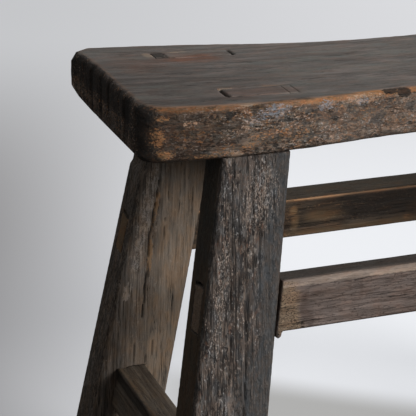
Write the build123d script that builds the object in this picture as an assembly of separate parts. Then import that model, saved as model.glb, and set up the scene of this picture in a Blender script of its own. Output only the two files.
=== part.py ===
# A rustic farmhouse stool: a thick plank seat on four splayed legs, tied by two long rails and two end rails.
# Every leg runs up through the seat as a through tenon locked by two wedges, and every rail runs
# through its legs as a through tenon. There is no metal in it.
# The frame: X along the plank, Y across it (the front is at -Y), Z up from the floor, and the origin
# on the floor under the middle of the seat. Lengths are millimetres.
from build123d import *
from math import radians, tan
import os

# Seat plank: its height and thickness are those of its two ends, and its width is that over the legs.
# Each long side is hollow for the waist's reach either way from the middle, and turns outwards there.
# Each end is square to the length up to its flare, which runs out to the back corner.
SEAT_LENGTH = 604.0
END_FLARE = 6.5
END_FLARE_START = 35.0
SEAT_WIDTH = 186.0
SEAT_THICKNESS = 49.0
SEAT_HEIGHT = 450.0
FRONT_END_NARROWING = 6.0
BACK_END_FLARE = 8.5
FRONT_WAIST_DEPTH = 14.0
BACK_WAIST_DEPTH = 12.5
FRONT_WAIST_REACH = 130.0
BACK_WAIST_REACH = 150.0
FRONT_TURN_INSET = 5.5
BACK_TURN_FLARE = -0.5
DISH_DEPTH = 7.0
FRONT_CORNER_RADIUS = 24.0
BACK_CORNER_RADIUS = 12.0
SEAT_TOP_ARRIS = 6.0
SEAT_BOTTOM_ARRIS = 7.0

# Legs: width is along X and depth along Y, both on a level cut, and the splay is in degrees
LEG_WIDTH = 61.5
LEG_DEPTH = 36.0
FOOT_WIDTH = 78.0
FOOT_DEPTH = 41.0
LEG_ARRIS = 3.0
LEG_SPLAY_ENDWAYS = 7.6
LEG_SPLAY_SIDEWAYS = 7.7
FRONT_LEG_STATION = 100.5
BACK_LEG_STATION = 92.5
LEG_EDGE_INSET = 5.0

# Tenons of the legs, through the seat and spread at their tops by the wedges. The outer shoulder is at
# the tenon's end, and the inner one is along its cheek, towards the middle of the seat
FRONT_TENON_OUTER_SHOULDER = 8.25
BACK_TENON_OUTER_SHOULDER = 5.75
FRONT_TENON_INNER_SHOULDER = 0.0
BACK_TENON_INNER_SHOULDER = 7.5
FRONT_TENON_DEPTH = 22.0
BACK_TENON_DEPTH = 17.0
FRONT_TENON_SPREAD = 0.0
BACK_TENON_SPREAD = 5.5

# Wedges at the two ends of each leg tenon, measured at the top of the seat
FRONT_THICK_WEDGE = 9.0
BACK_THICK_WEDGE = 12.0
THIN_WEDGE = 3.0
WEDGE_DRIVEN_DEPTH = 38.0
WEDGE_TIP_SHARE = 0.35
THIN_WEDGE_SUNK = 5.0

# Long rails: their outer faces are flush with the legs, and the whole section leans with them
LONG_RAIL_DROP = 157.5
LONG_RAIL_THICKNESS = 26.4
FRONT_RAIL_HEIGHT = 45.0
BACK_RAIL_HEIGHT = 42.0
SHOULDER_GAP_ABOVE = 2.6
SHOULDER_GAP_BELOW = 0.7

# End rails: their tops are level, and their outer faces lean with the legs
END_RAIL_DROP = 317.5
END_RAIL_THICKNESS = 28.0
END_RAIL_HEIGHT = 42.0
END_RAIL_STATION = 38.5

# Arris and tenons of all four rails
RAIL_ARRIS = 2.5
RAIL_TENON_OUTER_SHOULDER = 9.0
RAIL_TENON_THICKNESS = 17.0
RAIL_TENON_LOWER_SHOULDER = 5.5
MORTISE_HEADROOM = 2.5

# Fit of every joint, and the overrun of every cut
JOINT_CLEARANCE = 0.15
CUT_OVERRUN = 20.0

# Worked out from the sizes above
SEAT_UNDERSIDE = SEAT_HEIGHT - SEAT_THICKNESS
LEG_Y = SEAT_WIDTH / 2 - LEG_EDGE_INSET - LEG_DEPTH / 2
LEG_LEAN_X = tan(radians(LEG_SPLAY_ENDWAYS))
LEG_LEAN_Y = tan(radians(LEG_SPLAY_SIDEWAYS))
LEG_STATIONS = {"front": FRONT_LEG_STATION, "back": BACK_LEG_STATION}
TENON_OUTER_SHOULDERS = {"front": FRONT_TENON_OUTER_SHOULDER, "back": BACK_TENON_OUTER_SHOULDER}
TENON_INNER_SHOULDERS = {"front": FRONT_TENON_INNER_SHOULDER, "back": BACK_TENON_INNER_SHOULDER}
TENON_DEPTHS = {"front": FRONT_TENON_DEPTH, "back": BACK_TENON_DEPTH}
TENON_SPREADS = {"front": FRONT_TENON_SPREAD, "back": BACK_TENON_SPREAD}
THICK_WEDGES = {"front": FRONT_THICK_WEDGE, "back": BACK_THICK_WEDGE}
SIDE_OFFSETS = {
    "front": (-FRONT_END_NARROWING, -FRONT_TURN_INSET, -FRONT_WAIST_DEPTH),
    "back": (BACK_END_FLARE, BACK_TURN_FLARE, -BACK_WAIST_DEPTH),
}
END_FLARES = {"front": 0.0, "back": END_FLARE}
WAIST_REACHES = {"front": FRONT_WAIST_REACH, "back": BACK_WAIST_REACH}
RAIL_HEIGHTS = {"front": FRONT_RAIL_HEIGHT, "back": BACK_RAIL_HEIGHT}
ENDS = {"left": -1, "right": 1}
SIDES = {"front": -1, "back": 1}


def block_between(low, low_z, high, high_z, arris=0.0):
    """A flat-faced solid from a level rectangle at low_z to another at high_z.
    A rectangle is its centre x, its centre y, its width along X and its depth along Y."""
    rings = []
    for (x, y, width, depth), z in ((low, low_z), (high, high_z)):
        turns = ((-1, -1), (1, -1), (1, 1), (-1, 1))
        rings.append([Vector(x + east * width / 2, y + north * depth / 2, z) for east, north in turns])
    bottom, top = rings
    outlines = [bottom, top]
    outlines += [[bottom[i - 1], bottom[i], top[i], top[i - 1]] for i in range(len(bottom))]
    block = Solid(Shell([Face(Wire.make_polygon(outline)) for outline in outlines]))
    if arris:
        upright = [edge for edge in block.edges() if edge.bounding_box().size.Z > arris]
        block = fillet(upright, arris)
    return block


# Seat blank: long sides hollowed at the waist, the back corners flared, the top dished along the plank
def long_side(side):
    """One long side, left to right: an arc out of the left end, the waist's hollow arc, and an arc to
    the right end. Gives the two corners where it meets the ends."""
    out, half_width, reach = SIDES[side], SEAT_WIDTH / 2, WAIST_REACHES[side]
    corner_x = SEAT_LENGTH / 2 + END_FLARES[side]
    end_y, turn_y, waist_y = (out * (half_width + offset) for offset in SIDE_OFFSETS[side])
    waist = ThreePointArc((-reach, turn_y), (0, waist_y), (reach, turn_y))
    corners = (-corner_x, end_y), (corner_x, end_y)
    TangentArc(waist @ 0, corners[0], tangent=-(waist % 0))
    TangentArc(waist @ 1, corners[1], tangent=waist % 1)
    return corners


def seat_blank():
    with BuildPart() as blank:
        with BuildSketch(Plane.XY.offset(SEAT_UNDERSIDE)) as outline:
            with BuildLine():
                corners = {side: long_side(side) for side in SIDES}
                for front_corner, back_corner in zip(corners["front"], corners["back"]):
                    square = Line(front_corner, (front_corner[0], END_FLARE_START))
                    TangentArc(square @ 1, back_corner, tangent=square % 1)
            make_face()
            for side, radius in (("front", FRONT_CORNER_RADIUS), ("back", BACK_CORNER_RADIUS)):
                for x, y in corners[side]:
                    corner = outline.vertices().sort_by_distance((x, y, SEAT_UNDERSIDE))[0]
                    fillet(corner, radius)
        extrude(amount=SEAT_THICKNESS)
        dish_radius = ((SEAT_LENGTH / 2) ** 2 + DISH_DEPTH**2) / (2 * DISH_DEPTH)
        with BuildSketch(Plane.XZ):
            with Locations((0, SEAT_HEIGHT - DISH_DEPTH + dish_radius)):
                Circle(dish_radius)
        extrude(amount=SEAT_WIDTH, both=True, mode=Mode.SUBTRACT)
    plank = fillet(blank.part.faces().sort_by(Axis.Z)[0].edges(), SEAT_BOTTOM_ARRIS)
    return fillet(plank.faces().sort_by(Axis.Z)[-1].edges(), SEAT_TOP_ARRIS)


# Legs: a tapered, doubly splayed post up to the underside, then the tenon, flush with the dished top
def leg_rectangle(end, side, z, gap=0.0):
    """The leg's level cut at height z. Above the underside it carries on at the size it has there."""
    drop = SEAT_UNDERSIDE - z
    share_down = max(drop, 0.0) / SEAT_UNDERSIDE
    x = SEAT_LENGTH / 2 - LEG_STATIONS[side] + LEG_LEAN_X * drop
    y = LEG_Y + LEG_LEAN_Y * drop
    width = LEG_WIDTH + (FOOT_WIDTH - LEG_WIDTH) * share_down + 2 * gap
    depth = LEG_DEPTH + (FOOT_DEPTH - LEG_DEPTH) * share_down
    return ENDS[end] * x, SIDES[side] * y, width, depth


def leg_tenon_rectangle(end, side, z, room=0.0):
    """The level cut of the leg's tenon at height z, set in from the leg by its shoulders."""
    x, y, _, _ = leg_rectangle(end, side, z)
    out_x, out_y, depth = ENDS[end], SIDES[side], TENON_DEPTHS[side]
    spread = TENON_SPREADS[side] * (z - SEAT_UNDERSIDE) / SEAT_THICKNESS
    outer = x + out_x * (LEG_WIDTH / 2 - TENON_OUTER_SHOULDERS[side] + room)
    inner = x - out_x * (LEG_WIDTH / 2 + spread + room)
    middle = y - out_y * ((LEG_DEPTH - depth) / 2 - TENON_INNER_SHOULDERS[side])
    return (outer + inner) / 2, middle, abs(outer - inner), depth + 2 * room


def leg_body(end, side, arris=0.0):
    foot = leg_rectangle(end, side, 0.0)
    head = leg_rectangle(end, side, SEAT_UNDERSIDE)
    return block_between(foot, 0.0, head, SEAT_UNDERSIDE, arris)


def leg_tenon(end, side, blank):
    top = SEAT_HEIGHT + CUT_OVERRUN
    low = leg_tenon_rectangle(end, side, SEAT_UNDERSIDE)
    high = leg_tenon_rectangle(end, side, top)
    return block_between(low, SEAT_UNDERSIDE, high, top) & blank


# Wedges fill the slot beyond the two ends of the tenon and taper as they go down
def wedge_thickness(side, place):
    """A front leg has its thick wedge at the inner end of the tenon, a back leg at the outer end."""
    thick_place = "inner" if side == "front" else "outer"
    return THICK_WEDGES[side] if place == thick_place else THIN_WEDGE


def wedge_rectangle(end, side, place, z, room=0.0):
    full = wedge_thickness(side, place)
    driven_share = (SEAT_HEIGHT - z) / WEDGE_DRIVEN_DEPTH
    thickness = full - full * (1 - WEDGE_TIP_SHARE) * driven_share
    x, y, length, depth = leg_tenon_rectangle(end, side, z)
    away = ENDS[end] if place == "outer" else -ENDS[end]
    return x + away * (length + thickness) / 2, y, thickness + 2 * room, depth + 2 * room


def wedge(end, side, place, blank):
    tip_z = SEAT_HEIGHT - WEDGE_DRIVEN_DEPTH
    low = wedge_rectangle(end, side, place, tip_z)
    high = wedge_rectangle(end, side, place, SEAT_HEIGHT)
    sunk = THIN_WEDGE_SUNK if wedge_thickness(side, place) == THIN_WEDGE else 0.0
    return block_between(low, tip_z, high, SEAT_HEIGHT) & blank.moved(Location((0, 0, -sunk)))


def seat_mortise(end, side):
    """The slot through the seat: the tenon's own shape, flared at both ends for the wedges."""
    bottom, top = SEAT_UNDERSIDE - CUT_OVERRUN, SEAT_HEIGHT + CUT_OVERRUN
    low = leg_tenon_rectangle(end, side, bottom, JOINT_CLEARANCE)
    high = leg_tenon_rectangle(end, side, top, JOINT_CLEARANCE)
    slot = block_between(low, bottom, high, top)
    tip_z = SEAT_HEIGHT - WEDGE_DRIVEN_DEPTH - JOINT_CLEARANCE
    for place in ("outer", "inner"):
        tip = wedge_rectangle(end, side, place, tip_z, JOINT_CLEARANCE)
        head = wedge_rectangle(end, side, place, top, JOINT_CLEARANCE)
        slot += block_between(tip, tip_z, head, top)
    return slot


# Rails: each is a bar of even section. Its plane cuts it at mid length and has its origin at the bar's
# upper outer corner, and its shear is how far the section slides outwards for each length down
def long_rail_frame(side):
    z = SEAT_HEIGHT - LONG_RAIL_DROP
    face_lean = LEG_LEAN_Y + (FOOT_DEPTH - LEG_DEPTH) / 2 / SEAT_UNDERSIDE
    outer_y = LEG_Y + LEG_DEPTH / 2 + face_lean * (SEAT_UNDERSIDE - z)
    out = SIDES[side]
    plane = Plane(origin=(0, out * outer_y, z), x_dir=(0, -out, -face_lean), z_dir=(-out, 0, 0))
    return plane, 0.0


def end_rail_frame(end):
    z = SEAT_HEIGHT - END_RAIL_DROP
    face_lean = LEG_LEAN_X + (FOOT_WIDTH - LEG_WIDTH) / 2 / SEAT_UNDERSIDE
    out = ENDS[end]
    outer_x = SEAT_LENGTH / 2 - END_RAIL_STATION
    plane = Plane(origin=(out * outer_x, 0, z), x_dir=(-out, 0, 0), z_dir=(0, out, 0))
    return plane, face_lean


def bar(frame, inset, drop, thickness, height, length, arris=0.0):
    """A bar along the rail, inset and dropped from the rail's upper outer corner."""
    plane, shear = frame
    corners = []
    for across, down in ((0, 0), (thickness, 0), (thickness, height), (0, height)):
        corners.append((inset + across - shear * (drop + down), -(drop + down)))
    with BuildPart() as piece:
        with BuildSketch(plane):
            with BuildLine():
                Polyline(*corners, close=True)
            section = make_face()
            if arris:
                fillet(section.vertices(), arris)
        extrude(amount=length / 2, both=True)
    return piece.part


def tenon_bar(frame, height, length, room=0.0, headroom=0.0):
    """The bar that a rail's tenons are shaped to. With room it is the hole that they pass through."""
    inset = RAIL_TENON_OUTER_SHOULDER - room
    tall = height - RAIL_TENON_LOWER_SHOULDER + headroom + 2 * room
    return bar(frame, inset, -headroom - room, RAIL_TENON_THICKNESS + 2 * room, tall, length)


def rail(frame, thickness, height, reach, legs, shoulders):
    """The body stops at the shoulders. The tenons carry on through the legs, flush with their far faces.
    Reach is from the middle of the rail to the middle of a leg."""
    body = bar(frame, 0.0, 0.0, thickness, height, 2 * reach, RAIL_ARRIS)
    for shoulder in shoulders:
        body -= shoulder
    body += tenon_bar(frame, height, 2 * reach)
    through = tenon_bar(frame, height, 2 * (reach + LEG_WIDTH))
    for leg in legs:
        body += through & leg
    return body


def long_rail_shoulder(end, side):
    """Where a long rail's shoulder is sawn: a little off the leg, and more so at the top."""
    top = SEAT_HEIGHT - LONG_RAIL_DROP
    height = RAIL_HEIGHTS[side]
    widening = (SHOULDER_GAP_ABOVE - SHOULDER_GAP_BELOW) / height
    low_gap = SHOULDER_GAP_BELOW - widening * CUT_OVERRUN
    high_gap = SHOULDER_GAP_ABOVE + widening * CUT_OVERRUN
    low_z, high_z = top - height - CUT_OVERRUN, top + CUT_OVERRUN
    low = leg_rectangle(end, side, low_z, low_gap)
    return block_between(low, low_z, leg_rectangle(end, side, high_z, high_gap), high_z)


def save(shape, name):
    export_step(shape, f"parts/{name}.step")
    print(name, "solids", len(shape.solids()), "volume", round(shape.volume))


def main():
    os.makedirs("parts", exist_ok=True)
    seat = blank = seat_blank()
    posts = {(end, side): leg_body(end, side) for end in ENDS for side in SIDES}
    legs = {}
    for end, side in posts:
        seat -= seat_mortise(end, side)
        legs[end, side] = leg_body(end, side, LEG_ARRIS) + leg_tenon(end, side, blank)
        for place in ("outer", "inner"):
            save(wedge(end, side, place, blank), f"wedge_{side}_{end}_{place}")
    for side in SIDES:
        frame, height = long_rail_frame(side), RAIL_HEIGHTS[side]
        reach = leg_rectangle("right", side, SEAT_HEIGHT - LONG_RAIL_DROP)[0]
        pair = [posts[end, side] for end in ENDS]
        shoulders = [long_rail_shoulder(end, side) for end in ENDS]
        save(rail(frame, LONG_RAIL_THICKNESS, height, reach, pair, shoulders), f"long_rail_{side}")
        hole = tenon_bar(frame, height, SEAT_LENGTH, JOINT_CLEARANCE, MORTISE_HEADROOM)
        for end in ENDS:
            legs[end, side] -= hole
    for end in ENDS:
        frame = end_rail_frame(end)
        reach = leg_rectangle(end, "back", SEAT_HEIGHT - END_RAIL_DROP)[1]
        pair = [posts[end, side] for side in SIDES]
        save(rail(frame, END_RAIL_THICKNESS, END_RAIL_HEIGHT, reach, pair, pair), f"end_rail_{end}")
        hole = tenon_bar(frame, END_RAIL_HEIGHT, 2 * SEAT_WIDTH, JOINT_CLEARANCE, MORTISE_HEADROOM)
        for side in SIDES:
            legs[end, side] -= hole
    for (end, side), leg in legs.items():
        save(leg, f"leg_{side}_{end}")
    save(seat, "seat_plank")


main()
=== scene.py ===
import math

import bpy
import numpy as np
from mathutils import Matrix, Vector


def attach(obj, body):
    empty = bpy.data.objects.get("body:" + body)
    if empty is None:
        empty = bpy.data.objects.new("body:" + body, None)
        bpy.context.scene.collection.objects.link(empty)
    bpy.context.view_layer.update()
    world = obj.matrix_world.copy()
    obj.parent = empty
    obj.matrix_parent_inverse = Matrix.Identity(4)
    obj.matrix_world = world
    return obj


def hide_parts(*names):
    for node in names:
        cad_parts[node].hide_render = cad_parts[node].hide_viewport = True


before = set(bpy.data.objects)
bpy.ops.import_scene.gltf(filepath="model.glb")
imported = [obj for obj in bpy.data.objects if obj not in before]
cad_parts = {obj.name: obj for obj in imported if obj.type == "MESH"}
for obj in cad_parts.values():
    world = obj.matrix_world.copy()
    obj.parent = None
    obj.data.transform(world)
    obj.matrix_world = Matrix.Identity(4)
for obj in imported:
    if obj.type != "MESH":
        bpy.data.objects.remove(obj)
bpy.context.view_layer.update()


# The camera stands before the stool's left front leg, a little above the seat, and looks down
# along the plank. It has a long lens, so the legs hardly converge.
stand = (-0.689016, -1.222856, 0.831601)
yaw, pitch, roll = math.radians(21.426), math.radians(21.160), math.radians(1.243)
sight = Vector((math.sin(yaw) * math.cos(pitch), math.cos(yaw) * math.cos(pitch), -math.sin(pitch)))
level_right = Vector((math.cos(yaw), -math.sin(yaw), 0))
level_up = level_right.cross(sight)
turned_right = math.cos(roll) * level_right + math.sin(roll) * level_up
turned_up = -math.sin(roll) * level_right + math.cos(roll) * level_up
lens = bpy.data.cameras.new("camera")
lens.sensor_width = 36
lens.lens = 138.47
camera = bpy.data.objects.new("camera", lens)
bpy.context.scene.collection.objects.link(camera)
turned = Matrix((turned_right, turned_up, -sight)).transposed().to_4x4()
camera.matrix_world = Matrix.Translation(stand) @ turned
bpy.context.scene.camera = camera
bpy.context.scene.view_settings.view_transform = "Standard"


# The floor is plain pale paper. A broad light stands at the front right and a weak one low behind,
# in a dim even surround. The camera sees the paper paler than the light it throws and darker at
# the left. A painted shadow darkens it under the seat, and it keeps the stool's own shadow too.
def add(tree, kind, inputs={}, **settings):
    made = tree.nodes.new("ShaderNode" + kind)
    for key, value in settings.items():
        setattr(made, key, value)
    for key, value in inputs.items():
        if isinstance(value, bpy.types.NodeSocket):
            tree.links.new(value, made.inputs[key])
        else:
            made.inputs[key].default_value = value
    return made


def bare_tree(owner):
    owner.use_nodes = True
    owner.node_tree.nodes.clear()
    return owner.node_tree


def between(tree, value, low, high):
    return add(tree, "MapRange", {"Value": value, "From Min": low, "From Max": high},
               interpolation_type="SMOOTHSTEP").outputs[0]


def times(tree, a, b):
    return add(tree, "Math", {0: a, 1: b}, operation="MULTIPLY").outputs[0]


def blend(tree, share, under, over, kind="MIX"):
    # The node's two colours are its inputs 6 and 7, and the mixed colour is its output 2.
    return add(tree, "Mix", {0: share, 6: under, 7: over}, data_type="RGBA", blend_type=kind).outputs[2]


def across(tree, spot, direction, low, high):
    run = add(tree, "VectorMath", {0: spot, 1: direction}, operation="DOT_PRODUCT").outputs["Value"]
    return between(tree, run, low, high)


for name, energy, spread, colour, toward in (
    ("broad_light", 3.7, 30, (1.0, 0.985, 0.96), (0.50, -0.74, 0.46)),
    ("back_light", 0.9, 60, (0.97, 0.985, 1.0), (0.35, 0.93, 0.06)),
):
    lamp = bpy.data.lights.new(name, "SUN")
    lamp.angle = math.radians(spread)
    lamp.energy = energy
    lamp.color = colour
    light_stand = bpy.data.objects.new(name, lamp)
    bpy.context.scene.collection.objects.link(light_stand)
    light_stand.visible_glossy = name == "broad_light"
    light_stand.rotation_euler = Vector(toward).to_track_quat("Z", "Y").to_euler()

surround = bpy.data.worlds.new("surround")
bpy.context.scene.world = surround
tree = bare_tree(surround)
seen = add(tree, "LightPath").outputs["Is Camera Ray"]
pale_wall = add(tree, "Background", {"Color": (0.72, 0.74, 0.76, 1), "Strength": 1})
dim_room = add(tree, "Background", {"Color": (1.0, 0.98, 0.96, 1), "Strength": 0.3})
either = add(tree, "MixShader", {0: seen, 1: dim_room.outputs[0], 2: pale_wall.outputs[0]})
add(tree, "OutputWorld", {"Surface": either.outputs[0]})

bpy.ops.object.select_all(action="DESELECT")
bpy.ops.mesh.primitive_circle_add(vertices=96, radius=9, fill_type="NGON", location=(0, 0, 0))
floor = bpy.context.active_object
floor.name = "floor"
near_left, near_right = (0.255, 0.25, 0.255, 1), (0.89, 0.91, 0.95, 1)
far_left, far_right = (0.56, 0.57, 0.59, 1), (0.74, 0.75, 0.78, 1)
shaded, thrown = (0.50, 0.50, 0.495, 1), (0.16, 0.155, 0.15, 1)
sideways, slanting, away = (0.931, -0.365, 0), (0.598, 0.840, 0), (0.365, 0.931, 0)
paper = bpy.data.materials.new("pale_paper")
tree = bare_tree(paper)
seen = add(tree, "LightPath").outputs["Is Camera Ray"]
spot = add(tree, "TexCoord").outputs["Object"]
near_tone = blend(tree, across(tree, spot, sideways, -0.62, -0.06), near_left, near_right)
far_tone = blend(tree, across(tree, spot, sideways, -0.9, 0.5), far_left, far_right)
tone = blend(tree, across(tree, spot, away, 0.55, 1.7), near_tone, far_tone)
# A painted shadow darkens the paper in a soft patch under the seat.
under_seat = 1.0
for direction, outside, inside in (
    (slanting, 0.215, 0.15), (slanting, -0.26, -0.06), (sideways, -0.3, -0.16), (sideways, 0.42, 0.2),
):
    under_seat = times(tree, under_seat, across(tree, spot, direction, outside, inside))
tone = blend(tree, under_seat, tone, shaded)
matt = add(tree, "BsdfDiffuse", {"Color": blend(tree, seen, thrown, tone)})
glow = add(tree, "Emission", {"Color": tone, "Strength": seen})
partly_matt = add(tree, "MixShader", {0: 0.3, 1: glow.outputs[0], 2: matt.outputs[0]})
add(tree, "OutputMaterial", {"Surface": partly_matt.outputs[0]})
floor.data.materials.append(paper)


# The seat is one thick plank of dark, oiled elm with a waist and a dished top. Sitting has worn
# the top smooth and rubbed its arris to amber, and its edges are scabby and scarred. Four slots
# go right through it for the legs.
def worn_copy(node, name, grain_size):
    bpy.ops.object.select_all(action="DESELECT")
    piece = bpy.data.objects.new(name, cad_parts[node].data.copy())
    piece.data.materials.clear()
    bpy.context.scene.collection.objects.link(piece)
    piece.select_set(True)
    bpy.context.view_layer.objects.active = piece
    bpy.ops.object.mode_set(mode="EDIT")
    bpy.ops.mesh.select_all(action="SELECT")
    bpy.ops.mesh.remove_doubles(threshold=0.00001)
    bpy.ops.object.mode_set(mode="OBJECT")
    skin = piece.modifiers.new("even_skin", "REMESH")
    skin.mode = "VOXEL"
    skin.voxel_size = grain_size * 1
    bpy.ops.object.modifier_apply(modifier="even_skin")
    return piece


def read(items, what):
    flat = np.empty(len(items) * 3)
    items.foreach_get(what, flat)
    return flat.reshape(-1, 3)


def shape_of(piece):
    return read(piece.data.vertices, "co") * 1000


def outward(piece):
    return read(piece.data.vertex_normals, "vector")


def give_shape(piece, points):
    piece.data.vertices.foreach_set("co", (points / 1000).ravel())
    piece.data.update()


def rough(points, grain, seed, layers=2):
    level, weight = 0, 0
    for layer in range(layers):
        cell = points / (np.array(grain) / 2**layer) + seed * 13.7 + layer * 5.3
        corner = np.floor(cell)
        part = cell - corner
        part = part * part * (3 - 2 * part)
        value = 0
        for i in (0, 1):
            for j in (0, 1):
                for k in (0, 1):
                    wave = np.sin((corner + (i, j, k)) @ (127.1, 311.7, 74.7)) * 43758.5453
                    share = np.abs(part - 1 + (i, j, k)).prod(axis=1)
                    value = value + (wave - np.floor(wave)) * share
        level = level + value * 0.6**layer
        weight += 0.6**layer
    return level / weight * 2 - 1


def held(value):
    return np.clip(value, 0, 1)


def rise(value, low, high):
    share = held((value - low) / (high - low))
    return share * share * (3 - 2 * share)


def to_line(a, b, line):
    nearest = np.full(len(a), 1e9)
    for (a0, b0), (a1, b1) in zip(line, line[1:]):
        run = (a1 - a0) ** 2 + (b1 - b0) ** 2
        share = held(((a - a0) * (a1 - a0) + (b - b0) * (b1 - b0)) / run)
        nearest = np.minimum(nearest, np.hypot(a - a0 - share * (a1 - a0), b - b0 - share * (b1 - b0)))
    return nearest


def patch(a, b, centre, reach):
    return 1 - rise(np.hypot((a - centre[0]) / reach[0], (b - centre[1]) / reach[1]), 0.35, 1.15)


def soften(piece, values, rounds):
    ends = np.empty(len(piece.data.edges) * 2, dtype=np.int32)
    piece.data.edges.foreach_get("vertices", ends)
    a, b = ends.reshape(-1, 2).T
    joined = np.bincount(ends, minlength=len(values))
    for _ in range(rounds):
        around = np.bincount(a, values[b], len(values)) + np.bincount(b, values[a], len(values))
        values = (values + around / joined) / 2
    return values


def keep(piece, **layers):
    for name, values in layers.items():
        vector = values.ndim == 2
        layer = piece.data.attributes.new(name, "FLOAT_VECTOR" if vector else "FLOAT", "POINT")
        layer.data.foreach_set("vector" if vector else "value", values.ravel())


def total(tree, *terms):
    value = 0.0
    for term, weight in terms:
        value = add(tree, "Math", {0: term, 1: weight, 2: value}, operation="MULTIPLY_ADD").outputs[0]
    return value


def spread_over(tree, value, low, high):
    return add(tree, "MapRange", {"Value": value, "From Min": 0.3, "From Max": 0.7,
                                  "To Min": low, "To Max": high}).outputs[0]


def ramp(tree, value, tones, start, span):
    made = add(tree, "ValToRGB", {"Fac": value})
    while len(made.color_ramp.elements) < len(tones):
        made.color_ramp.elements.new(0.5)
    for number, (element, tone) in enumerate(zip(made.color_ramp.elements, tones)):
        element.position = start + span * number / (len(tones) - 1)
        element.color = (*tone, 1)
    return made.outputs[0]


def painted(tree, layer):
    return add(tree, "Attribute", attribute_name=layer).outputs["Fac"]


# Old wood runs between its tones in streaks along the grain, and its tints come and go in zones. A
# fleck is its length and width in mm, the noise at which it starts and at which it is full, its
# colour, its strength, and where it lies: 0 all over, a number in clusters of that many mm, a name
# on that painted layer. A wash soaks in evenly, and what lies over the wood has torn edges.
def aged_wood(name, tones, tints, flecks, over, wash, roughness, bump, seed, torn, fibre=0.5):
    made = bpy.data.materials.new(name)
    tree = bare_tree(made)
    grain = add(tree, "Attribute", attribute_name="grain").outputs["Vector"]
    relief = []

    def noise(size, detail, fineness, shift=0.0):
        place = add(tree, "Mapping", {"Vector": grain, "Location": (seed + shift, shift * 2.3, seed * 1.7),
                                      "Scale": (1000 / size[0], 1000 / size[1], 1000 / size[1])}).outputs[0]
        return add(tree, "TexNoise", {"Vector": place, "Scale": 1.0, "Detail": detail,
                                      "Roughness": fineness}).outputs["Fac"]

    def strewn(colour, number, size, low, high, fleck, strength, where):
        share = between(tree, noise(size, 4, 0.6, 31.0 + number * 7.7), low, high)
        if isinstance(where, str):
            share = times(tree, share, painted(tree, where))
        elif where:
            cluster = noise((where * 2.2, where), 3, 0.5, 57.0 + number * 5.1)
            share = times(tree, share, between(tree, cluster, 0.44, 0.58))
        relief.append((share, 0.25 if sum(fleck) > 0.3 else -0.35))
        return blend(tree, times(tree, share, strength), colour, (*fleck, 1))

    broad = noise((120, 20), 3, 0.5)
    streaks = noise((75, 2.4), 5, 0.6, 3.1)
    fibres = noise((14, 0.6), 4, 0.65, 7.7)
    mottle = noise((3.6, 2.0), 5, 0.65, 11.3)
    fine = noise((1.5, 0.9), 3, 0.6, 17.9)

    colour = ramp(tree, total(tree, (broad, 0.55), (streaks, 0.45)), tones, 0.33, 0.34)
    shade = total(tree, (fibres, 0.6), (streaks, 0.4))
    shade = spread_over(tree, shade, 0.5 - fibre * 0.5, 0.5 + fibre * 0.5)
    shade = add(tree, "CombineColor", {0: shade, 1: shade, 2: shade}).outputs[0]
    colour = blend(tree, 0.9, colour, shade, "OVERLAY")
    for number, fleck in enumerate(flecks):
        if not isinstance(fleck[5], str):
            colour = strewn(colour, number, *fleck)
    for layer, (stain, strength) in wash.items():
        colour = blend(tree, times(tree, painted(tree, layer), strength), colour, (*stain, 1))
    for number, fleck in enumerate(flecks):
        if isinstance(fleck[5], str):
            colour = strewn(colour, number, *fleck)
    for number, (layer, (crust, strength)) in enumerate(over.items()):
        amount = painted(tree, layer)
        ragged = noise(torn, 4, 0.65, 71.0 + 3.3 * number)
        ragged = total(tree, (amount, 0.5), (ragged, 1.0), (fine, 0.5))
        share = times(tree, between(tree, ragged, 0.90, 1.04), between(tree, amount, 0.02, 0.3))
        colour = blend(tree, times(tree, share, strength), colour, (*crust, 1))
    zones = ramp(tree, noise((16, 8), 3, 0.6, 43.0), tints, 0.36, 0.28)
    colour = blend(tree, 1.0, colour, zones, "MULTIPLY")

    checks = add(tree, "Math", {0: noise((70, 1.6), 2, 0.4, 23.5), 1: 0.5}, operation="SUBTRACT").outputs[0]
    checks = add(tree, "Math", {0: checks}, operation="ABSOLUTE").outputs[0]
    here_and_there = between(tree, noise((45, 9), 3, 0.5, 29.1), 0.5, 0.6)
    checks = times(tree, between(tree, checks, 0.02, 0.004), here_and_there)
    gap = add(tree, "Math", {0: checks, 1: painted(tree, "crack")}, operation="MAXIMUM").outputs[0]
    colour = blend(tree, gap, colour, (0.006, 0.0045, 0.0035, 1))
    height = total(tree, (streaks, 0.4), (fibres, 0.3), (mottle, 0.7), (fine, 0.35), (gap, -1.2), *relief)
    dents = add(tree, "Bump", {"Height": height, "Strength": 1.0, "Distance": bump / 1000})
    gloss = spread_over(tree, mottle, *roughness)
    skin = add(tree, "BsdfPrincipled", {"Base Color": colour, "Roughness": gloss, "Normal": dents.outputs[0],
                                        "Specular IOR Level": 0.25})
    add(tree, "OutputMaterial", {"Surface": skin.outputs[0]})
    return made


def finish(piece, node, woods, on_second=None):
    for wood in woods:
        piece.data.materials.append(wood)
    bpy.ops.object.select_all(action="DESELECT")
    piece.select_set(True)
    bpy.context.view_layer.objects.active = piece
    bpy.ops.object.shade_smooth()
    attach(piece, "root")
    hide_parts(node)
    if on_second is not None:
        piece.data.polygons.foreach_set("material_index", on_second.astype(np.int32))


def near_slot(x, y):
    slot_x, slot_y, half_length, half_width = 197, 62, 48, 17
    return (np.abs(np.abs(x) - slot_x) < half_length) & (np.abs(np.abs(y) - slot_y) < half_width)


# The polish of the top, with its painted sheen, and its ruddy stains run on over the tenons and wedges
# that are flush with it.
def rubbed_top(points):
    return 0.1 + 0.9 * rise(np.abs(points[:, 0]), 300, 40) + 0.35 * rise(points[:, 1], -20, 90)


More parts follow.
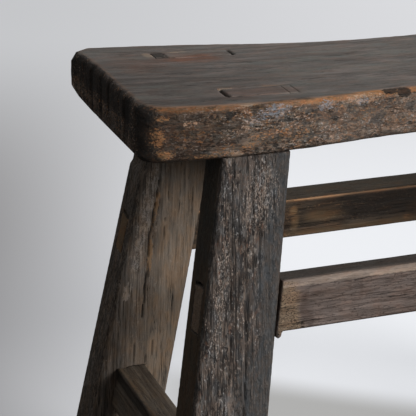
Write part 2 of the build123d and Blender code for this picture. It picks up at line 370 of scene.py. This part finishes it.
def ruddy_top(points):
    a, b = np.abs(points[:, 0]), points[:, 1] + 4 * rough(points, (30, 6, 30), 14)
    ruddy = patch(a, b, (205, 50), (44, 20)) * rise(a, 165, 195) + 0.35 * patch(a, b, (190, -62), (50, 16))
    return ruddy + 0.3 * patch(a, b, (262, 40), (30, 40))


# Flats are hewn at each end: the way that one faces, as out, back and up, and how far out it lies.
hewn_flats = (
    ((0.960, 0.278, 0.0), 320.8), ((0.856, 0.089, -0.509), 57.2), ((0.771, 0.023, -0.636), -26.0),
    ((0.744, 0.005, -0.668), -47.9), ((0.787, 0.375, 0.490), 491.3), ((0.242, 0.337, 0.910), 511.6),
)
seat = worn_copy("seat_plank", "seat", 0.0015)
points = shape_of(seat)
which_end = np.where(points[:, 0] > 0, 1, -1)
for (out, back, up), distance in hewn_flats:
    beyond = points @ np.array((0, back, up)) + np.abs(points[:, 0]) * out - distance
    beyond = np.maximum(0, beyond + 0.5 * rough(points, (9, 9, 9), 9) * (points[:, 0] > 0))
    points[:, 0] -= beyond * out * which_end
    points[:, 1] -= beyond * back
    points[:, 2] -= beyond * up
give_shape(seat, points)

normals = outward(seat)
x, y, z = points.T
away_x = np.abs(x)
in_slot = near_slot(x, y)
slot_wall = in_slot & (np.abs(normals[:, 2]) < 0.9)
side = np.abs(normals[:, 1]) * ~slot_wall
ends = np.abs(normals[:, 0]) * ~slot_wall * rise(away_x, 285, 298)
top = np.maximum(0, normals[:, 2])
scabs = rise(rough(points, (13, 9, 5), 1, 3), -0.3, 0.35)
fissures = rise(rough(points, (26, 7, 60), 2), 0.05, 0.5)
ripple = rough(points, (120, 9, 9), 3) * 0.5 + 0.5
shoulder_z, slit_x = 402, 221
sunk = 0.8 * side * (1 - scabs) + 1.5 * ends * fissures + 0.2 * top * ripple * ~in_slot
sunk = np.where(z < shoulder_z, np.minimum(sunk, 0.3), sunk)
sunk += 1.3 * slot_wall * (np.abs(away_x - slit_x) < 1.5) * (y < 0)
give_shape(seat, points - normals * sunk[:, None])

wobble, fine_wobble = 3.5 * rough(points, (11, 11, 11), 8), 0.8 * rough(points, (9, 9, 9), 6)
uneven = 0.5 + 0.7 * rough(points, (22, 8, 8), 4)
long_edge = rise(np.abs(normals[:, 1]), 0.2, 0.5)
arris = rise(normals[:, 2], 0.30, 0.55) * rise(normals[:, 2], 0.995, 0.95) * rise(z, 425, 432) * ~in_slot
arris = held(1.45 * soften(seat, arris, 5))
low_arris = rise(np.abs(z - 403), 8, 2)
end_arris = rise(np.abs(normals[:, 0]), 0.12, 0.35) * rise(np.abs(normals[:, 1]), 0.45, 0.25)
end_arris *= rise(away_x, 275, 287) * rise(z, 425, 432)
amber = arris * (0.45 + 0.65 * rise(away_x, 280, 150)) * (0.75 + 0.6 * rough(points, (30, 9, 9), 7))
amber *= (1 - 0.8 * ends) * (1 - 0.9 * end_arris)
worn = (0.3 * arris * rise(away_x, 270, 150) + 0.2 * low_arris * uneven) * (1 - 0.9 * ends)
dusk = long_edge * rise(away_x, 190, 296)
soot = 0.45 * long_edge * rise(away_x, 274, 296) + 0.35 * ends * (1 + rough(points, (12, 12, 30), 5))
soot += end_arris * (0.35 + 0.5 * rough(points, (10, 10, 30), 11))
# Sitting has rubbed the top paler towards its middle, and a painted sheen brightens it towards the back.
rubbed = top * rubbed_top(points) + long_edge * rise(away_x, 230, 60)
ruddy = top * ruddy_top(points)
pale, blue = np.zeros((2, len(points)))

# Scars of the long edges: the layer, the place along the left half and up, the reach, the amount.
scars = (
    (pale, (-260, 435), (10, 4.5), 0.4), (pale, (-105, 439), (30, 8), 0.4), (pale, (-213, 446), (11, 2), 0.9),
    (pale, (-221, 404), (6, 4), 0.8), (worn, (-290, 424), (10, 12), 0.78), (worn, (-283, 409), (11, 5), 0.68),
    (worn, (-240, 406), (28, 4), 0.3), (worn, (-284, 440), (8, 4), 0.5), (soot, (-228, 439), (7, 4), 0.8),
    (soot, (-78, 444), (9, 5), 1.3), (soot, (-64, 441), (8, 6), 1.3), (soot, (-264, 416), (2, 4), 0.6),
    (blue, (-188, 439), (20, 8), 0.5), (blue, (-142, 438), (10, 6), 0.5), (blue, (-106, 437), (9, 5), 0.5),
    (blue, (-205, 432), (12, 6), 0.35),
)
for half in (1, -1):
    for face, shift in ((-1, 0), (1, 17)):
        along = (x - shift) * half + wobble
        on_face = rise(normals[:, 1] * face, 0.08, 0.35)
        for layer, centre, reach, amount in scars:
            layer += amount * patch(along, z + 0.5 * wobble, centre, reach) * on_face
pale += 0.8 * top * patch(-away_x + fine_wobble, y, (-244.5, 64), (6, 9))

# Thin dark seams of the top: the points of each on the left half, its width and its strength.
seam_lines = (
    ([(-281, -49), (-250, -62), (-222, -73)], 1.0, 0.7),
    ([(-290, 83), (-264, 76.8), (-226, 70.4)], 1.3, 0.9),
    ([(-262, -44), (-221, -45.6), (-185, -49)], 1.0, 0.7),
    ([(-255, -71.3), (-228, -71), (-190, -77)], 1.0, 0.6),
    ([(-292, 30), (-262, 27), (-240, 27)], 1.2, 0.4),
    ([(-236, -10), (-205, -12)], 1.0, 0.4),
)
seams, broken = np.zeros(len(points)), rise(rough(points, (17, 17, 17), 12), -0.45, 0.1)
for line, width, strength in seam_lines:
    thin_line = rise(to_line(-away_x + fine_wobble, y + fine_wobble, line), width * 1.6, width * 0.5)
    seams = np.maximum(seams, strength * thin_line * top * broken)
slit = [(-223.0, -47.0), (-222.3, -72.6)]
crack = 0.8 * ends * fissures + rise(to_line(-away_x, y, slit), 2.2, 1.6) * slot_wall * rise(z, 440, 445)
keep(seat, grain=points / 1000, worn=held(worn), pale=held(pale), soot=held(soot), blue=held(blue),
     rubbed=held(rubbed), ruddy=held(ruddy), crack=held(crack), amber=held(amber), dusk=held(dusk),
     seam=held(seams))

# The rubbed layer lightens and greys the top, partly as wear and partly as a painted sheen.
seat_wood = aged_wood(
    "seat_wood",
    tones=[(0.025, 0.020, 0.017), (0.038, 0.031, 0.027), (0.052, 0.043, 0.038), (0.070, 0.059, 0.052)],
    tints=[(0.9, 0.95, 0.98), (1.0, 1.0, 1.0), (1.10, 1.0, 0.96)],
    flecks=[
        ((70, 11), 0.50, 0.62, (0.115, 0.096, 0.090), 0.6, 0),
        ((80, 9), 0.51, 0.62, (0.080, 0.081, 0.073), 0.55, 0),
        ((60, 8), 0.50, 0.40, (0.042, 0.034, 0.031), 0.55, 0),
        ((34, 1.6), 0.53, 0.64, (0.125, 0.108, 0.10), 0.4, 16),
        ((40, 1.2), 0.45, 0.38, (0.026, 0.019, 0.016), 0.55, 14),
        ((3, 2), 0.42, 0.34, (0.03, 0.024, 0.02), 0.5, 20),
        ((60, 10), 0.50, 0.61, (0.200, 0.172, 0.160), 0.5, "rubbed"),
        ((70, 9), 0.50, 0.40, (0.072, 0.060, 0.054), 0.55, "rubbed"),
        ((90, 16), 0.51, 0.61, (0.130, 0.134, 0.122), 0.5, "rubbed"),
        ((34, 1.4), 0.47, 0.38, (0.050, 0.037, 0.032), 0.6, "rubbed"),
    ],
    over={"pale": ((0.20, 0.15, 0.11), 0.8), "soot": ((0.015, 0.012, 0.010), 0.9)},
    wash={"rubbed": ((0.152, 0.134, 0.123), 0.7), "ruddy": ((0.125, 0.058, 0.036), 0.85),
          "amber": ((0.265, 0.120, 0.044), 1.0), "seam": ((0.030, 0.016, 0.012), 0.85)},
    roughness=(0.52, 0.70), bump=0.1, seed=1.3, torn=(3.0, 2.2), fibre=0.14,
)
edge_wood = aged_wood(
    "seat_edge_wood",
    tones=[(0.034, 0.025, 0.019), (0.064, 0.049, 0.039), (0.100, 0.078, 0.063), (0.145, 0.116, 0.096)],
    tints=[(0.62, 0.68, 0.74), (1.0, 1.0, 1.0), (1.28, 1.02, 0.86), (0.9, 0.96, 1.0), (1.2, 1.12, 1.08)],
    flecks=[
        ((22, 9), 0.51, 0.60, (0.165, 0.130, 0.100), 0.6, 0),
        ((17, 8), 0.48, 0.39, (0.018, 0.013, 0.010), 0.75, 0),
        ((5, 3), 0.53, 0.62, (0.125, 0.100, 0.064), 0.6, 18),
        ((3.8, 1.7), 0.515, 0.60, (0.27, 0.21, 0.165), 0.75, 15),
        ((3.4, 1.9), 0.53, 0.60, (0.29, 0.150, 0.066), 0.8, 11),
        ((2.2, 1.6), 0.54, 0.61, (0.42, 0.37, 0.34), 0.75, 9),
        ((3.4, 2.2), 0.51, 0.43, (0.010, 0.008, 0.007), 0.92, 13),
        ((2, 1.3), 0.47, 0.40, (0.014, 0.010, 0.008), 0.75, 7),
    ],
    over={"worn": ((0.28, 0.155, 0.075), 0.75), "pale": ((0.36, 0.26, 0.19), 0.8),
          "blue": ((0.23, 0.24, 0.27), 0.75), "soot": ((0.012, 0.010, 0.009), 0.9)},
    wash={"rubbed": ((0.20, 0.155, 0.13), 0.35), "dusk": ((0.026, 0.0145, 0.0085), 0.78),
          "amber": ((0.26, 0.125, 0.048), 0.75)},
    roughness=(0.6, 0.85), bump=0.8, seed=2.9, torn=(2.6, 1.8),
)
middle = read(seat.data.polygons, "center") * 1000
on_edge = np.abs(read(seat.data.polygons, "normal")[:, 2]) < 0.86
on_edge &= ~near_slot(middle[:, 0], middle[:, 1])
finish(seat, "seat_plank", [seat_wood, edge_wood], on_edge)
underside = seat.vertex_groups.new(name="underside")
underside.add(np.flatnonzero((normals[:, 2] < -0.95) & (z < 403)).tolist(), 1.0, "REPLACE")
thin = seat.modifiers.new("fewer_faces", "DECIMATE")
thin.ratio = 0.68
thin.vertex_group = "underside"
bpy.ops.object.modifier_apply(modifier="fewer_faces")


# The four legs are heavy squared poles that taper, splay both ways and come up through the seat as
# tenons. They have weathered hard: ragged arrises, long open checks and a grey, pitted skin, and
# painted shade blackens the near ones' rounded front arrises. The far ones are browner, with painted
# light on their front faces and a painted shadow of the seat at their tops.
leg_wood = aged_wood(
    "leg_wood",
    tones=[(0.028, 0.023, 0.021), (0.052, 0.044, 0.040), (0.078, 0.068, 0.063), (0.112, 0.099, 0.093)],
    tints=[(0.88, 0.95, 1.02), (1.0, 1.0, 1.0), (1.12, 0.98, 0.88), (0.96, 1.0, 1.02)],
    flecks=[
        ((15, 4), 0.52, 0.60, (0.150, 0.132, 0.120), 0.65, 0),
        ((18, 5), 0.48, 0.41, (0.022, 0.020, 0.020), 0.75, 0),
        ((9, 4), 0.55, 0.63, (0.115, 0.062, 0.042), 0.55, 18),
        ((5.0, 2.0), 0.54, 0.63, (0.22, 0.190, 0.170), 0.7, 12),
        ((3.2, 1.7), 0.55, 0.66, (0.42, 0.395, 0.38), 0.62, 8),
        ((36, 1.2), 0.46, 0.40, (0.009, 0.007, 0.006), 0.85, 0),
        ((4.0, 2.2), 0.47, 0.40, (0.009, 0.007, 0.007), 0.88, 10),
    ],
    over={"pale": ((0.30, 0.27, 0.25), 0.65), "soot": ((0.012, 0.010, 0.009), 0.85)},
    wash={"blue": ((0.052, 0.053, 0.055), 0.78), "dusk": ((0.036, 0.031, 0.023), 0.85),
          "tan": ((0.060, 0.040, 0.024), 0.8)},
    roughness=(0.65, 0.9), bump=0.8, seed=4.1, torn=(3.0, 1.2),
)
back_leg_wood = aged_wood(
    "back_leg_wood",
    tones=[(0.045, 0.034, 0.026), (0.085, 0.066, 0.052), (0.125, 0.101, 0.083), (0.165, 0.136, 0.114)],
    tints=[(0.88, 0.94, 1.0), (1.0, 1.0, 1.0), (1.10, 1.0, 0.90)],
    flecks=[
        ((60, 5), 0.51, 0.60, (0.155, 0.130, 0.112), 0.6, 0),
        ((50, 4), 0.49, 0.41, (0.052, 0.044, 0.038), 0.6, 0),
        ((22, 1.6), 0.54, 0.65, (0.24, 0.195, 0.16), 0.5, 14),
        ((30, 1.2), 0.46, 0.38, (0.022, 0.016, 0.012), 0.7, 0),
        ((46, 3.4), 0.49, 0.41, (0.095, 0.080, 0.067), 0.55, "light"),
        ((26, 1.4), 0.45, 0.38, (0.050, 0.038, 0.029), 0.6, "light"),
        ((3.5, 1.8), 0.56, 0.65, (0.28, 0.24, 0.21), 0.4, 14),
    ],
    over={"worn": ((0.25, 0.145, 0.075), 0.8), "pale": ((0.30, 0.26, 0.23), 0.6),
          "soot": ((0.016, 0.012, 0.009), 0.8)},
    wash={"light": ((0.29, 0.22, 0.162), 0.78), "dusk": ((0.020, 0.014, 0.009), 0.92)},
    roughness=(0.6, 0.85), bump=0.45, seed=6.4, torn=(6.0, 1.8),
)
# Checks of the front face: the points of each, as inward and up, its width and its depth.
leg_cracks = {
    "front": [
        ([(-1, 377), (1, 356), (3.4, 335)], 1.0, 2.2), ([(16, 379), (19, 358), (19.5, 346)], 0.8, 1.6),
        ([(-11.6, 291), (-8.4, 261), (-5.3, 231), (-4.5, 214)], 1.1, 2.5),
        ([(5.2, 259), (8.9, 224), (11.2, 196), (12.6, 160), (13, 120)], 1.2, 2.8),
    ],
    "back": [
        ([(-14.5, 330), (-14.1, 318), (-13.8, 295), (-12.9, 270), (-9.0, 238), (-6.0, 206), (-5.0, 186)],
         1.5, 4.0),
        ([(-1.2, 291), (1.2, 268)], 0.8, 1.5), ([(-9.2, 168), (-3.0, 134)], 0.8, 1.6),
        ([(3.3, 161), (8.5, 132)], 0.9, 1.8), ([(10.6, 160), (13.7, 142)], 0.7, 1.4),
    ],
}
head_z, head_y, head_x = 401, 70, {"front": 201.5, "back": 209.5}
lean_x, lean_y = 0.13343, 0.13520
head_half_width, more_width, head_half_depth, more_depth = 30.75, 8.25, 18, 2.5
end_mortise_x, end_mortise_z, seat_low_z = 246, 134, 440
for row, (side_name, out_y, wood, grain_slant, pit_depth, pared) in enumerate((
    ("front", -1, leg_wood, 0.11, 1.0, 0), ("back", 1, back_leg_wood, 0.16, 0.45, 1.9),
)):
    for column, (end_name, out_x) in enumerate((("left", -1), ("right", 1))):
        node, seed = f"leg_{side_name}_{end_name}", 10 + 2 * row + column
        leg = worn_copy(node, f"{side_name}_{end_name}_leg", 0.0013)
        points = shape_of(leg)
        drop = head_z - points[:, 2]
        centre_x = out_x * (head_x[side_name] + drop * lean_x)
        centre_y = out_y * (head_y + drop * lean_y)
        inward, rearward = -out_x * (points[:, 0] - centre_x), points[:, 1] - centre_y
        half_width = head_half_width + drop * more_width / head_z
        half_depth = head_half_depth + drop * more_depth / head_z
        local = np.stack((points[:, 2], inward + grain_slant * (points[:, 2] - 250), rearward), axis=1)
        below = rise(points[:, 2], 399, 395)
        off_floor = rise(points[:, 2], 0.5, 4)

        # The arrises are rounded unevenly, with bites out of the outer front one.
        at_back = rise(rearward, 0, 8)
        arris = 3.0 - 1.9 * at_back if side_name == "front" else 2.0
        arris = arris + (1.6 - 0.8 * at_back) * rough(local, (22, 60, 60), seed, 3)
        bitten = rise(-inward, 6, 16) * rise(-rearward, 3, 9)
        arris += bitten * (4.6 + 3.6 * rough(local, (15, 80, 80), seed + 5, 3))
        for turn in (0.25, 0.5, 0.8, 1.1, 1.35):
            wide, deep = math.cos(turn), math.sin(turn)
            reach = np.abs(inward) * wide + np.abs(rearward) * deep
            limit = half_width * wide + half_depth * deep - arris * (wide + deep - 1)
            excess = np.maximum(0, reach - limit) * below
            inward = inward - np.sign(inward) * excess * wide
            rearward = rearward - np.sign(rearward) * excess * deep
        # The far legs are pared above their rail, and the end rails' mortises close tight at the mouth.
        inward = inward + pared * rise(points[:, 2], 337, 342) * rise(-inward, 24, 29) * below
        points[:, 0] = -out_x * inward + centre_x
        points[:, 1] = rearward + centre_y
        by_mouth = rise(np.abs(np.abs(points[:, 0]) - end_mortise_x), 11, 10)
        points[:, 2] -= 2.3 * by_mouth * rise(points[:, 2], 152, 138) * (points[:, 2] > end_mortise_z)
        give_shape(leg, points)

        normals = outward(leg)
        height, tenon_top = points[:, 2], points[:, 2] > seat_low_z
        flank = rise(np.abs(normals[:, 0]), 0.6, 0.9)
        face = rise(-normals[:, 1], 0.6, 0.9)
        pits = rise(rough(local, (11, 4, 4), seed + 20, 3), -0.05, -0.55)
        sunk = pit_depth * pits * off_floor * below * (1 - 0.8 * flank)
        crack = np.zeros(len(points))
        wander = rough(local, (9, 50, 50), seed + 30) * 0.8
        opened = 0.65 + 0.5 * rough(local, (12, 80, 80), seed + 31)
        for line, width, depth in leg_cracks[side_name]:
            gap = to_line(inward + wander, height, line)
            here = rise(gap, width * opened, width * opened * 0.2) * face
            sunk += depth * here * 0.5
            crack = np.maximum(crack, here * min(1, 0.35 + 0.45 * width))
        give_shape(leg, points - normals * sunk[:, None])

        worn, pale, blue, dusk, light, tan = np.zeros((6, len(points)))
        if side_name == "front":
            # Painted shade blackens the rounded front arrises, and the sides are painted darker, browner low
            # down.
            soot = 0.95 * rise(-normals[:, 1], 0.80, 0.62) * rise(np.abs(normals[:, 0]), 0.93, 0.84)
            soot *= (rearward < 0) * (0.7 + 0.5 * rough(local, (14, 5, 5), seed + 42)) * below
            smooth = flank * (1 - soot)
            drift = inward + 6 * rough(local, (30, 9, 9), seed + 40)
            blue += face * np.maximum(rise(drift, 9, 19), 0.85 * rise(drift, -6, 8) * rise(height, 245, 215))
            pale += 0.34 * face * patch(inward, height, (-20, 290), (8, 75))
            pale += 0.34 * face * patch(inward, height, (8, 365), (24, 42))
            tan += smooth * rise(height, 330, 280)
            dusk += smooth
        else:
            soot = 0.35 * flank
            long_check = rise(to_line(inward - 2.0, height, leg_cracks["back"][0][0]), 3.2, 1.2)
            here_and_there = rise(rough(local, (30, 60, 60), 77), -0.3, 0.3)
            worn += 0.8 * face * long_check * rise(height, 225, 250) * here_and_there
            pale += 0.7 * face * patch(inward, height, (-25, 216), (5, 12))
            pale += 0.42 * face * patch(inward, height, (-21, 300), (9, 95))
            # Painted light brightens the front face towards its inner side and low down.
            edge_of_heart = inward + 6 * rough(local, (60, 12, 12), seed + 41)
            light += face * rise(edge_of_heart, -26, 20) * (0.6 + 0.4 * rise(height, 230, 130))
            light += 0.7 * face * patch(inward, height, (24, 125), (20, 62))
            # A painted shadow of the seat darkens the top of the front face, lower on its inner side, and a
            # strip low on the outer side is darker.
            dusk += face * rise(height + 0.9 * inward, 306, 386)
            dusk += 0.35 * face * patch(inward, height, (-22, 160), (8, 60))
        keep(leg, grain=np.where(tenon_top[:, None], points, local) / 1000, worn=worn, pale=pale, blue=blue,
             dusk=dusk, soot=soot, crack=crack, rubbed=tenon_top * held(rubbed_top(points)),
             ruddy=tenon_top * held(ruddy_top(points)), light=held(light), tan=tan)
        on_tenon = read(leg.data.polygons, "center")[:, 2] > 0.4405
        finish(leg, node, [wood, seat_wood], on_tenon)


# The two long rails are square-edged battens that tie the legs along the plank. Each goes
# through its legs as a bare tenon, and its outer face leans with them. The near one has a worn
# band along its top, two worm holes and a splinter, and the far one a bright rubbed arris.
rail_wood = aged_wood(
    "rail_wood",
    tones=[(0.072, 0.052, 0.044), (0.100, 0.075, 0.065), (0.125, 0.096, 0.085), (0.155, 0.122, 0.108)],
    tints=[(0.94, 0.97, 1.0), (1.0, 1.0, 1.0), (1.06, 0.98, 0.94)],
    flecks=[
        ((20, 1.4), 0.55, 0.66, (0.19, 0.150, 0.130), 0.5, 12),
        ((14, 1.1), 0.47, 0.39, (0.042, 0.029, 0.024), 0.65, 0),
        ((2.2, 1.3), 0.40, 0.33, (0.030, 0.020, 0.016), 0.7, 0),
        ((1.5, 1.1), 0.49, 0.42, (0.028, 0.018, 0.012), 0.8, "pale"),
        ((3.2, 1.4), 0.53, 0.62, (0.28, 0.20, 0.13), 0.6, "pale"),
    ],
    over={"worn": ((0.29, 0.225, 0.18), 0.8)},
    wash={"pale": ((0.170, 0.120, 0.078), 0.8), "soot": ((0.045, 0.040, 0.034), 0.9),
          "tide": ((0.050, 0.031, 0.024), 0.6), "amber": ((0.27, 0.21, 0.17), 0.6)},
    roughness=(0.55, 0.8), bump=0.45, seed=8.2, torn=(3.4, 1.2),
)
back_rail_wood = aged_wood(
    "back_rail_wood",
    tones=[(0.020, 0.014, 0.010), (0.042, 0.030, 0.021), (0.068, 0.049, 0.035), (0.105, 0.074, 0.051)],
    tints=[(0.92, 0.96, 1.0), (1.0, 1.0, 1.0), (1.12, 0.98, 0.88)],
    flecks=[
        ((16, 2.4), 0.53, 0.64, (0.20, 0.115, 0.060), 0.6, 18),
        ((22, 1.6), 0.46, 0.37, (0.014, 0.010, 0.007), 0.7, 0),
        ((3, 1.8), 0.55, 0.64, (0.24, 0.16, 0.095), 0.5, 12),
    ],
    over={"worn": ((0.33, 0.185, 0.090), 0.6)},
    wash={"pale": ((0.25, 0.155, 0.078), 0.7), "soot": ((0.016, 0.012, 0.010), 0.85),
          "amber": ((0.52, 0.29, 0.155), 0.95), "grime": ((0.076, 0.062, 0.047), 0.9)},
    roughness=(0.55, 0.8), bump=0.4, seed=9.6, torn=(4.0, 1.5),
)
rail_out_y, rail_thickness, rail_top_z, rail_lean, shoulder_x = 103.5, 26.4, 292.5, 0.1414, 188
for row, (side_name, out_y, wood, front_y) in enumerate((
    ("front", -1, rail_wood, -rail_out_y), ("back", 1, back_rail_wood, rail_out_y - rail_thickness),
)):
    node, seed = f"long_rail_{side_name}", 40 + row
    rail = worn_copy(node, f"{side_name}_rail", 0.0013)
    points, normals = shape_of(rail), outward(rail)
    local = points.copy()
    local[:, 1] += out_y * rail_lean * points[:, 2]
    x, y, height = points.T
    away_x = np.abs(x)
    from_arris = np.hypot(y - front_y, height - rail_top_z)
    from_end = shoulder_x - away_x + 5 * rough(local, (9, 9, 12), seed + 3)
    inside_leg = rise(from_end, 0, -6)
    tenon_end = rise(np.abs(normals[:, 0]), 0.6, 0.9)
    top = rise(normals[:, 2], 0.85, 0.97)
    front = rise(-normals[:, 1], 0.6, 0.9)
    sunk = 0.35 * rise(rough(local, (60, 4, 4), seed, 3), 0.1, -0.5)
    sunk += rise(from_arris, 5, 0) * (0.8 + 0.8 * rough(local, (30, 30, 30), seed + 1))
    crack, tide, grime = np.zeros((3, len(points)))
    if side_name == "front":
        sweep = rise(rough(local, (14, 7, 7), seed + 5), -0.5, 0.2)
        forward = rise(-normals[:, 1], 0.15, 0.4)
        worn = 0.75 * rise(np.abs(height - 293.3), 2.4, 0.8)
        worn += 0.85 * rise(np.abs(height - 287.2), 2.0, 0.8) * sweep
        worn *= (0.55 + 0.45 * rise(away_x, 170, 120)) * forward
        amber = rise(np.abs(height - 290), 5, 3) * forward * (0.7 + 0.3 * rise(away_x, 180, 130))
        slanted_end = from_end + 0.15 * (height - 270)
        bare = rise(slanted_end, 25, 17) * front * (1 - inside_leg)
        tide += rise(np.abs(slanted_end - 27), 6, 1) * front * rise(height, 286, 278)
        tide += 0.8 * rise(np.abs(height - 290.4), 1.4, 0.5) * rise(away_x, 176, 150) * sweep
        drip = rise(np.abs(away_x - 107.6), 1.5, 0.6) * rise(height, 266, 270) * rise(height, 289, 286)
        tide += 0.7 * drip * front
        # Painted shade darkens the top under the seat and the tenons inside the legs, all but their ends.
        soot = 0.9 * top * (1 - 0.5 * rise(from_arris, 6.5, 3)) + 0.8 * inside_leg * (1 - tenon_end)
        for hole_x, hole_z in ((164, 253), (164, 249)):
            hole = rise(np.hypot(away_x - hole_x, height - hole_z), 1.9, 1.1) * front
            crack, sunk = np.maximum(crack, hole), sunk + 1.2 * hole
        splinter = rise(np.abs(away_x - 185.5), 4.0, 0.5) * rise(-normals[:, 2], 0.5, 0.9) * rise(y, -86, -92)
        sunk -= splinter * (5.0 + 3.5 * rough(local, (3, 3, 3), seed + 6))
    else:
        fade = rise(x * np.where(x < 0, 1, -0.8), 20, -110)
        broken = rise(rough(local, (24, 9, 9), seed + 2), -0.55, 0.1)
        amber = rise(np.abs(height - 289.6), 3.6, 1.2) * rise(-normals[:, 1], 0.3, 0.6)
        amber *= (0.3 + 0.8 * fade) * (0.72 + 0.38 * broken)
        worn = 0.5 * rise(from_arris, 6, 3) * broken * fade
        dark_run = x + 20 * rough(local, (25, 20, 12), seed + 4)
        soot = 0.85 * front * rise(dark_run, -62, -22) * rise(dark_run, 150, 60) * rise(height, 255, 264)
        soot += 0.6 * front * rise(np.abs(height - 285), 5, 1) * rise(x, -80, -50)
        # Painted shade darkens the tenons inside the legs, and the front is a little darker all over.
        soot += 0.8 * inside_leg * (1 - 0.8 * tenon_end) + 0.1 * front
        grime += top * (1 - rise(from_arris, 6.5, 3))
        bare = front * patch(away_x, height, (90, 277), (5, 6))
        bare += 0.55 * front * patch(away_x, height, (87, 264), (5, 12))
        bare += 0.5 * front * patch(away_x, height, (56, 268), (28, 8))
        bare += 0.35 * front * rise(height, 257, 252)
    bare += 0.75 * inside_leg * tenon_end
    give_shape(rail, points - normals * sunk[:, None])
    keep(rail, grain=local / 1000, worn=held(worn), pale=held(bare), soot=held(soot), crack=crack,
         tide=held(tide), amber=held(amber), grime=grime)
    finish(rail, node, [wood])


# The two end rails cross between the legs of each end, low down, on tenons like the long rails'.
# Feet have rubbed the tops bare beside the outer arris, and painted shade darkens the outer face,
# most of all just below that arris.
end_rail_wood = aged_wood(
    "end_rail_wood",
    tones=[(0.062, 0.047, 0.035), (0.096, 0.075, 0.057), (0.128, 0.103, 0.080), (0.165, 0.135, 0.106)],
    tints=[(0.92, 0.96, 1.0), (1.0, 1.0, 1.0), (1.08, 1.0, 0.9)],
    flecks=[
        ((34, 5), 0.52, 0.62, (0.155, 0.127, 0.100), 0.5, 0),
        ((30, 1.5), 0.45, 0.37, (0.030, 0.022, 0.017), 0.5, 0),
        ((4, 2), 0.56, 0.65, (0.17, 0.14, 0.11), 0.4, 16),
    ],
    over={"worn": ((0.15, 0.105, 0.068), 0.6)}, wash={"soot": ((0.013, 0.010, 0.008), 0.85)},
    roughness=(0.5, 0.75), bump=0.3, seed=12.9, torn=(4.0, 2.0),
)
end_rail_out_x, end_rail_top_z, end_rail_lean = 263.5, 132.5, 0.154
for column, (end_name, out_x) in enumerate((("left", -1), ("right", 1))):
    node, seed = f"end_rail_{end_name}", 50 + column
    rail = worn_copy(node, f"{end_name}_end_rail", 0.0013)
    points, normals = shape_of(rail), outward(rail)
    upright_x = points[:, 0] + out_x * end_rail_lean * points[:, 2]
    local = np.stack((points[:, 1], upright_x, points[:, 2]), axis=1)
    from_arris = np.hypot(points[:, 0] - out_x * end_rail_out_x, points[:, 2] - end_rail_top_z)
    wobble = 2.2 * rough(local, (22, 9, 9), seed + 2)
    below_arris = end_rail_top_z - points[:, 2] + wobble
    flank = rise(normals[:, 0] * out_x, 0.25, 0.6)
    sunk = 0.3 * rise(rough(local, (60, 4, 4), seed, 3), 0.1, -0.5)
    corner = rise(from_arris, 5, 0.5) * (points[:, 2] > 125)
    points[:, 0] += out_x * 1.6 * corner
    points[:, 2] += 0.9 * corner
    sunk -= 0.3 * corner
    give_shape(rail, points - normals * sunk[:, None])
    # Painted shade darkens the outer face, most of all in a band just below the top arris.
    grime = flank * rise(below_arris, 14, 9) * rise(below_arris, 0.5, 3.0)
    keep(rail, grain=local / 1000, worn=0.5 * rise(from_arris + wobble, 7, 3) * (1 - flank),
         soot=held(grime + 0.28 * flank), crack=np.zeros(len(points)))
    finish(rail, node, [end_rail_wood])


# Wedges fill the flared slots beside the legs' tenons. They were driven from above and cut
# flush with the seat, so only their end grain shows, rubbed to the same finish and painted sheen as its top.
for side_name in ("front", "back"):
    for end_name in ("left", "right"):
        for place in ("outer", "inner"):
            node = f"wedge_{side_name}_{end_name}_{place}"
            wedge = worn_copy(node, f"{side_name}_{end_name}_{place}_wedge", 0.0005)
            points, normals = shape_of(wedge), outward(wedge)
            sunk = 0.03 + 0.03 * rough(points, (2, 2, 8), 60)
            give_shape(wedge, points - normals * sunk[:, None])
            dark = (0.74 + 0.4 * rough(points, (3.5, 5, 9), 61)) * ((side_name, place) == ("back", "outer"))
            slit = rise(np.abs(points[:, 0]), 219.9, 220.6) * ((side_name, place) == ("front", "outer"))
            keep(wedge, grain=points / 1000, soot=dark, crack=slit, rubbed=held(rubbed_top(points)),
                 ruddy=held(ruddy_top(points)))
            finish(wedge, node, [seat_wood])
